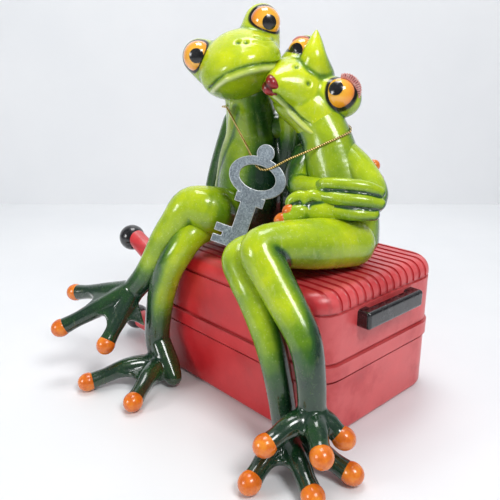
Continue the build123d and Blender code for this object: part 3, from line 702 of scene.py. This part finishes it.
# Lady's arms: folded, the left forearm over her lap and the right hand round her left elbow.
# The long fingers end in round tips; those of the left hand are painted orange.
lady_arms = {
    "left": (
        [
            ((25, 8, 102), 6.2), ((36, 7, 95), 6.2), ((44, 3, 86.5), 6.3),
            ((38.5, -8, 83), 5.4), ((30, -16, 82), 4.8),
        ],
        [(26, -23, 82.6), (24.6, -26, 79.4)],
    ),
    "right": (
        [
            ((11, 1, 100), 5.4), ((12, -4.5, 93.5), 5.2), ((16, -7.8, 89), 5.0),
            ((25, -10, 89.5), 4.6), ((33, -10, 89.5), 4.8),
        ],
        [(46, -1.5, 91.5), (46.5, -2.5, 87), (45, -5, 83)],
    ),
}
lady_curls = {
    "left": [
        [
            ((31, -15, 86), 2.6), ((27.5, -19.5, 88), 2.5),
            ((24.8, -21.6, 85.5), 2.4), ((26.6, -20.6, 82.6), 2.2),
        ],
        [
            ((33.5, -12.8, 86), 2.6), ((31.2, -16.6, 88.6), 2.5),
            ((29, -18.9, 86.4), 2.4), ((30, -18.4, 83.4), 2.2),
        ],
        [((29, -17.5, 80), 2.6), ((27, -22, 81.4), 2.5), ((25.4, -25, 79.6), 2.4)],
    ],
    "right": [
        [((33, -12, 92.5), 2.7), ((40, -9.5, 93), 2.6), ((46.2, -4, 92.2), 2.5), ((49.2, 1, 90), 2.3)],
        [((33.5, -13, 88), 2.8), ((40.5, -11.5, 88), 2.7), ((47, -6, 87.4), 2.6), ((50.6, -0.5, 86), 2.3)],
        [
            ((33.5, -12.5, 83.8), 2.7), ((40, -11.6, 83), 2.7),
            ((46, -7.5, 82.4), 2.6), ((49.6, -2.5, 82), 2.3),
        ],
    ],
}
for side, (stations, tips) in lady_arms.items():
    form = bmesh.new()
    limb(form, stations)
    wrist = Vector(stations[-1][0])
    for tip in tips:
        knuckle = wrist.lerp(Vector(tip), 0.5) + Vector((1.0, -1.6, 0.3))
        limb(form, [(wrist, 3.6), (knuckle, 3.1), (tip, 2.6)], steps=4)
    for curl in lady_curls[side]:
        limb(form, curl)
    lady_arm = Skin(f"lady_{side}_arm_skin", form, grain=0.45, smoothing=5)
    outer = ease(lady_arm.facing((0.5, 0.6, -0.5)), 0.1, 0.8)
    # The right arm is painted dark near its shoulder as painted shade between the two bodies; creases get
    # painted shade, tops painted light, and sharp ridges a pale painted highlight.
    upper = 1 - ease(lady_arm.places()[:, 0], 12.5, 19) if side == "right" else 0.0
    dark = 0.4 + 0.5 * outer + 0.6 * lady_arm.crease_shade(5) + 0.6 * upper
    lady_arm.paint("dark", dark - 0.18 * lady_arm.painted_toplight())
    lady_arm.paint("pale", 0.3 * lady_arm.ridges())
    lady_arm.set_in(f"lady_{side}_arm", frog_green)

# Lady's legs: crossed over the front of the case, the left one outermost.
# They are cast and airbrushed like the gent's, with both webbed feet near the case's corner.
lady_tips = {
    "left": [(57.5, -66.5, 16.5), (74, -57.5, 16.5), (72, -44, 16)],
    "right": [(56, -72, 4.1), (74.5, -61.7, 4.1), (76, -43.8, 4.1)],
}
lady_left_stations = [
    ((40, -3, 69), 9.6), ((37.5, -22, 72), 9.7), ((31.5, -43, 73.6), 7.7), ((37.5, -45, 66), 7.2),
    ((44.4, -45, 58), 6.8), ((55, -46, 47), 6.0), ((59.5, -47, 34), 5.2), ((61, -47.5, 20.5), 4.9),
]
lady_right_stations = [
    ((24, -7, 67), 8.6), ((21.5, -26, 67.5), 8.2), ((19, -42, 67), 7.0), ((26, -46, 61), 6.6),
    ((32.5, -47.5, 55), 6.2), ((40.5, -48, 42), 5.7), ((45.3, -48, 28), 5.2), ((49, -48.5, 14), 4.8),
    ((51, -50, 8), 4.9),
]
leg("lady_left_leg", lady_left_stations, lady_tips["left"], 1.5, None, ACROSS, (0.6, 0.9))
leg("lady_right_leg", lady_right_stations, lady_tips["right"], 2.0, None, ACROSS, (0.58, 0.9))

# Toe pads and fingertips: the round ends of the toes and fingers, painted orange over the green.
# The paint stops at a straight line, so each is built as its own bulb on the end of the toe.
pad_orange, tree, shader, coords = painted("pad orange", 0.26, 0.4)
mottle = noise(tree, coords, 240.0, 4.0)
orange = ramp(
    tree,
    mottle,
    [(0.3, (0.56, 0.096, 0.005)), (0.52, (0.76, 0.175, 0.009)), (0.75, (0.88, 0.3, 0.025))],
)
tree.links.new(orange, shader.inputs["Base Color"])
bump(tree, shader, noise(tree, coords, 500.0, 2.0), 0.1, 0.0008)


def finished(name, form, material, smooth=True):
    """Turn a bmesh into an object with one material."""
    mesh = bpy.data.meshes.new(name)
    form.to_mesh(mesh)
    form.free()
    if smooth:
        mesh.polygons.foreach_set("use_smooth", [True] * len(mesh.polygons))
    mesh.materials.append(material)
    piece = bpy.data.objects.new(name, mesh)
    bpy.context.scene.collection.objects.link(piece)
    return piece


def bulbs(node, root, tips, radius, length=1.1):
    """Round ends on a fan of toes or fingers, a little longer than they are wide."""
    form = bmesh.new()
    for tip in tips:
        tip = Vector(tip)
        run = (tip - Vector(root)).normalized()
        oval(form, tip, (radius, radius, radius * length), run.to_track_quat("Z", "Y").to_matrix())
    stand_for(finished(f"{node}_bulbs", form, pad_orange), node)


toe_pad, gent_fingertip, lady_fingertip = 4.0, 2.5, 2.9
bulbs("gent_right_toe_pads", (-42, -54, 38.5), gent_legs["right"][1], toe_pad)
bulbs("gent_left_toe_pads", (-28, -47.5, 6.5), gent_legs["left"][1], toe_pad)
bulbs("lady_left_toe_pads", (61, -47.5, 20.5), lady_tips["left"], toe_pad)
bulbs("lady_right_toe_pads", (51, -50, 8), lady_tips["right"], toe_pad)
bulbs("gent_right_fingertips", (-46, -5, 70), gent_arms["right"][1], gent_fingertip)
bulbs("gent_left_fingertips", (23, 22.5, 96), gent_arms["left"][1], gent_fingertip)
bulbs("lady_left_fingertips", (29, -16.5, 82.5), lady_arms["left"][1], lady_fingertip, 1.15)

# Eyes: glossy balls set in the lids, painted orange with a darker rim, each with a black pupil.
# The paint and the thin pupil cap of each follow the way it looks.
eyeball, pupil_cap, pupil_edge = 6.3, 6.62, 0.872
for frog, eyes, looks in (("gent", gent_eyes, gent_looks), ("lady", lady_eyes, lady_looks)):
    for side in ("left", "right"):
        iris, tree, shader, coords = painted(f"{frog} {side} iris", 0.12, 1.0)
        spoke = tree.nodes.new("ShaderNodeVectorMath")
        spoke.operation = "SUBTRACT"
        tree.links.new(coords, spoke.inputs[0])
        spoke.inputs[1].default_value = eyes[side] * MM
        unit = tree.nodes.new("ShaderNodeVectorMath")
        unit.operation = "NORMALIZE"
        tree.links.new(spoke.outputs["Vector"], unit.inputs[0])
        facing = tree.nodes.new("ShaderNodeVectorMath")
        facing.operation = "DOT_PRODUCT"
        tree.links.new(unit.outputs["Vector"], facing.inputs[0])
        facing.inputs[1].default_value = looks[side].normalized()
        front = calc(tree, "SUBTRACT", facing.outputs["Value"], 0.08)
        streak = calc(tree, "MULTIPLY_ADD", noise(tree, coords, 500.0), 0.16, front)
        orange = ramp(
            tree,
            streak,
            [
                (0.0, (0.01, 0.005, 0.003)),
                (0.12, (0.56, 0.115, 0.008)),
                (0.4, (0.96, 0.32, 0.018)),
                (0.9, (1.0, 0.5, 0.045)),
            ],
        )
        tree.links.new(orange, shader.inputs["Base Color"])
        form = bmesh.new()
        turned = looks[side].to_track_quat("Z", "Y").to_matrix().to_4x4()
        eye_place = Matrix.Translation(eyes[side] * MM) @ turned
        bmesh.ops.create_uvsphere(form, u_segments=48, v_segments=32, radius=eyeball * MM, matrix=eye_place)
        stand_for(finished(f"{frog}_{side}_eyeball", form, iris), f"{frog}_{side}_eye")
        form = bmesh.new()
        bmesh.ops.create_uvsphere(form, u_segments=40, v_segments=48, radius=pupil_cap * MM, matrix=eye_place)
        look = looks[side].normalized()
        outside = [v for v in form.verts if (v.co / MM - eyes[side]).normalized().dot(look) < pupil_edge]
        bmesh.ops.delete(form, geom=outside, context="VERTS")
        cap = finished(f"{frog}_{side}_pupil_cap", form, trim_black)
        stand_for(cap, f"{frog}_{side}_pupil")

# Lady's lips: two soft rolls pressed to the gent's cheek, painted dark red over the cast snout.
# A darker line parts them.
lip_red, tree, shader, coords = painted("lip red", 0.32, 0.4)
crinkle = noise(tree, coords, 600.0, 3.0)
red = ramp(tree, crinkle, [(0.3, (0.17, 0.004, 0.0065)), (0.7, (0.4, 0.013, 0.018))])
red = blend(tree, attribute(tree, "dark"), red, (0.03, 0.001, 0.002))
tree.links.new(red, shader.inputs["Base Color"])
bump(tree, shader, crinkle, 0.15, 0.0008)
form = bmesh.new()
for rise in (-1.5, 1.7):
    roll = on_face(lady_face, [(-6.0, 14.2, rise), (-2.4, 17.0, rise), (1.2, 15.2, rise)])
    limb(form, list(zip(roll, (1.0, 2.2, 1.0))))
lady_lips = Skin("lady_lips_skin", form, grain=0.25, smoothing=4)
parting_line = on_face(lady_face, [(-7, 14.5, 0.1), (-2.4, 18.6, 0.1), (2, 15.6, 0.1)])
lady_lips.paint("dark", lady_lips.glow(parting_line, 1.1))
lady_lips.set_in("lady_lips", lip_red)

# Lady's lashes: thin cast crescents outside the eyelids, painted in pink and white strokes.
# The near one stands up from the outer rim of the eye; the far one lies on the crest.
lash_pink, tree, shader, coords = painted("lash pink", 0.35, 0.4)
pink = ramp(
    tree,
    attribute(tree, "dark"),
    [(0.2, (0.85, 0.52, 0.45)), (0.55, (0.54, 0.155, 0.155)), (0.9, (0.13, 0.026, 0.026))],
)
pink = blend(tree, span(tree, noise(tree, coords, 800.0), 0.45, 0.75, 0.0, 0.5), pink, (0.9, 0.75, 0.68))
tree.links.new(pink, shader.inputs["Base Color"])
hairs = 15
for side, towards, turns, tall in (
    ("left", Vector((0.623, -0.782, 0.04)), (5, 98), 2.0),
    ("right", Vector((0.68, -0.73, 0.0)), (-40, 20), 0.5),
):
    wide = ACROSS - towards * ACROSS.dot(towards)
    lift = wide.cross(towards).normalized() * -1
    form = bmesh.new()
    for hair in range(hairs):
        turn = math.radians(turns[0] + (turns[1] - turns[0]) * hair / (hairs - 1))
        out = lift * math.cos(turn) + wide.normalized() * math.sin(turn)
        reach = tall * math.sin(math.pi * (hair + 1.5) / (hairs + 2)) ** 0.5
        root = lady_eyes[side] + out * (5.75 + tall * 0.475) + towards * 0.8
        limb(form, [(root, 0.55), (root + out * reach + towards * 0.3, 0.38)], steps=2)
    lash = Skin(f"lady_{side}_lash_skin", form, grain=0.16, smoothing=1)
    # Painted shade darkens the hollows between the hairs.
    lash.paint("dark", 0.45 + lash.crease_shade(2))
    lash.set_in(f"lady_{side}_lash", lash_pink)

# Key: a flat cast metal key with an oval bow, a collar, a shaft and a toothed bit.
# It hangs from the cord through its bow and leans on the laps, so it swings by itself.
key_metal, tree, shader, coords = painted("key metal", 0.42, 0.0)
shader.inputs["Metallic"].default_value = 0.75
grit = noise(tree, coords, 1500.0, 4.0, 0.7)
stain = noise(tree, coords, 160.0, 4.0)
steel = ramp(tree, grit, [(0.3, (0.17, 0.2, 0.24)), (0.5, (0.32, 0.38, 0.43)), (0.72, (0.56, 0.63, 0.69))])
steel = blend(tree, span(tree, stain, 0.4, 0.75, 0.0, 0.5), steel, (0.2, 0.23, 0.26))
steel = blend(tree, attribute(tree, "edge"), steel, (0.75, 0.77, 0.78))
tree.links.new(steel, shader.inputs["Base Color"])
tree.links.new(span(tree, grit, 0.3, 0.7, 0.3, 0.55), shader.inputs["Roughness"])
bump(tree, shader, grit, 0.25, 0.0004)
form = bmesh.new()
form.from_mesh(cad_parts["key"].data)
bmesh.ops.remove_doubles(form, verts=form.verts, dist=1e-6)
bmesh.ops.dissolve_limit(form, angle_limit=math.radians(1), verts=form.verts, edges=form.edges)
paired = [rim for rim in form.edges if len(rim.link_faces) == 2]
sharp = [rim for rim in paired if rim.calc_face_angle() > math.radians(40)]
worn_edge = 0.28 * MM
bmesh.ops.bevel(form, geom=sharp, offset=worn_edge, segments=3, profile=0.5, affect="EDGES", material=-1)
key_normal = Vector((0.7, -0.65, 0.29)).normalized()
side_wall, broad_face = 0.15, 0.97
layer = form.faces.layers.float.new("edge")
for face in form.faces:
    flat = abs(face.normal.dot(key_normal))
    face[layer] = 0.8 if side_wall < flat < broad_face else 0.0
stand_for(finished("key_steel", form, key_metal, smooth=False), "key", body="key")

# Cord: thin twisted gold cord, looped round both necks and through the bow, and tied behind.
# The strands catch the light as a row of beads.
cord_gold, tree, shader, coords = painted("cord gold", 0.32, 0.2)
shader.inputs["Metallic"].default_value = 0.6
strand = tree.nodes.new("ShaderNodeTexWave")
strand.wave_type = "BANDS"
strand.bands_direction = "DIAGONAL"
tree.links.new(coords, strand.inputs["Vector"])
strand.inputs["Scale"].default_value = 420.0
strand.inputs["Distortion"].default_value = 1.5
gold = ramp(
    tree,
    strand.outputs["Fac"],
    [(0.15, (0.2, 0.1, 0.015)), (0.5, (0.68, 0.43, 0.09)), (0.9, (0.92, 0.72, 0.3))],
)
tree.links.new(gold, shader.inputs["Base Color"])
bump(tree, shader, strand.outputs["Fac"], 0.5, 0.0006)
route = [
    (-3.2, 20.6, 114.3), (-11, 15.8, 116.4), (-20, 10.6, 118.4), (-28.6, 6.6, 118.6), (-31.6, -1.4, 118.5),
    (-28.4, -9.7, 118.5), (-24.7, -12.4, 118.7), (-20.9, -14.0, 118.5), (-17.8, -14.9, 116.4),
    (-6.8, -16.5, 105.3), (5.4, -18.7, 95.6), (14.2, -11.2, 100.2), (23.0, -4.1, 105.2), (25.6, -2.7, 106.7),
    (27.8, -0.2, 108.1), (28.9, 2.4, 109.2), (29.2, 5.3, 110.1), (28.7, 8.0, 110.8), (23.4, 13.8, 112),
    (15, 16.8, 113), (7, 18.9, 113.6), (-0.8, 20.4, 113.6),
]
path = [Vector(row) for row in flow(route, 6)]
cord_radius = 0.45
curve = bpy.data.curves.new("gold_cord", "CURVE")
curve.dimensions = "3D"
curve.bevel_depth = cord_radius * MM
curve.bevel_resolution = 4
curve.use_fill_caps = True
line = curve.splines.new("POLY")
line.points.add(len(path) - 1)
for point, place in zip(line.points, path):
    point.co = (*(place * MM), 1.0)
curve.materials.append(cord_gold)
cord = bpy.data.objects.new("gold_cord", curve)
bpy.context.scene.collection.objects.link(cord)
stand_for(cord, "key_cord")

# Cord knot: the two ends of the cord tied in one small knot behind the necks.
# It is the same gold cord, wound twice and pulled tight.
knot_place = Vector((-2, 20, 114))
form = bmesh.new()
for turn in range(24):
    angle = turn * math.pi / 6
    swing = Vector((1.1 * math.cos(angle), 0.8 * math.sin(angle), (turn - 12) / 14))
    oval(form, knot_place + swing, (0.6, 0.6, 0.6))
knot = Skin("gold_knot", form, grain=0.2, smoothing=2)
knot.set_in("cord_knot", cord_gold)

# Floor and wall: a white table top against a white wall, as in the photo.
# They stay plain, so that only the figurine's soft shadow shows on them.
white_paint, tree, shader, coords = painted("white table", 0.55, 0.0)
chalk = noise(tree, coords, 9.0, 3.0)
white = ramp(tree, chalk, [(0.3, (0.8, 0.815, 0.835)), (0.7, (0.84, 0.85, 0.865))])
tree.links.new(white, shader.inputs["Base Color"])
form = bmesh.new()
bmesh.ops.create_grid(form, x_segments=1, y_segments=1, size=2.0)
table_top = finished("table_top", form, white_paint, smooth=False)
view_way = Vector((-0.7325, 0.6807, 0.0))
upright = view_way.to_track_quat("Z", "Y").to_matrix().to_4x4()
behind = Matrix.Translation(Vector((-0.262, 0.223, 0.0)))
form = bmesh.new()
bmesh.ops.create_grid(form, x_segments=1, y_segments=1, size=1.5, matrix=behind @ upright)
wall = finished("wall", form, white_paint, smooth=False)

# Light: a bright window high on the right, a smaller one low in front, the sky overhead and a white room.
# The room is seen as plain white, and lights the pieces less strongly.
world = bpy.data.worlds.new("room")
bpy.context.scene.world = world
world.use_nodes = True
tree = world.node_tree
background = tree.nodes["Background"]
background.inputs["Color"].default_value = (0.93, 0.96, 1.0, 1.0)
seen = tree.nodes.new("ShaderNodeLightPath")
room_level, less_in_gloss, more_when_seen = 0.36, -0.14, 0.64
on_pieces = calc(tree, "MULTIPLY_ADD", seen.outputs["Is Glossy Ray"], less_in_gloss, room_level)
room_light = calc(tree, "MULTIPLY_ADD", seen.outputs["Is Camera Ray"], more_when_seen, on_pieces)
tree.links.new(room_light, background.inputs["Strength"])
for name, place, aim, size, power in (
    ("window", (0.45, -0.1, 0.6), (0.0, 0.0, 0.06), 0.22, 2.6),
    ("front", (-0.16, -0.62, 0.27), (0.0, -0.02, 0.06), 0.18, 1.25),
    ("sky", (-0.1, 0.06, 0.72), (0.0, 0.0, 0.08), 0.27, 1.9),
):
    lamp = bpy.data.lights.new(name, "AREA")
    lamp.size = size
    lamp.energy = power
    light = bpy.data.objects.new(name, lamp)
    bpy.context.scene.collection.objects.link(light)
    light.location = place
    light.rotation_euler = (Vector(aim) - Vector(place)).to_track_quat("-Z", "Y").to_euler()
bpy.context.scene.view_settings.view_transform = "Standard"

# Camera: at the photo's angle, at the height of the frogs' heads on the handle side.
# Its place and lens were fitted to the photo.
camera_data = bpy.data.cameras.new("camera")
camera_data.sensor_width = 36.0
camera_data.lens = 41.9
camera = bpy.data.objects.new("camera", camera_data)
bpy.context.scene.collection.objects.link(camera)
camera.location = (0.1736, -0.1812, 0.134)
camera.rotation_euler = (math.radians(72.8), 0.0, math.radians(47.1))
bpy.context.scene.camera = camera
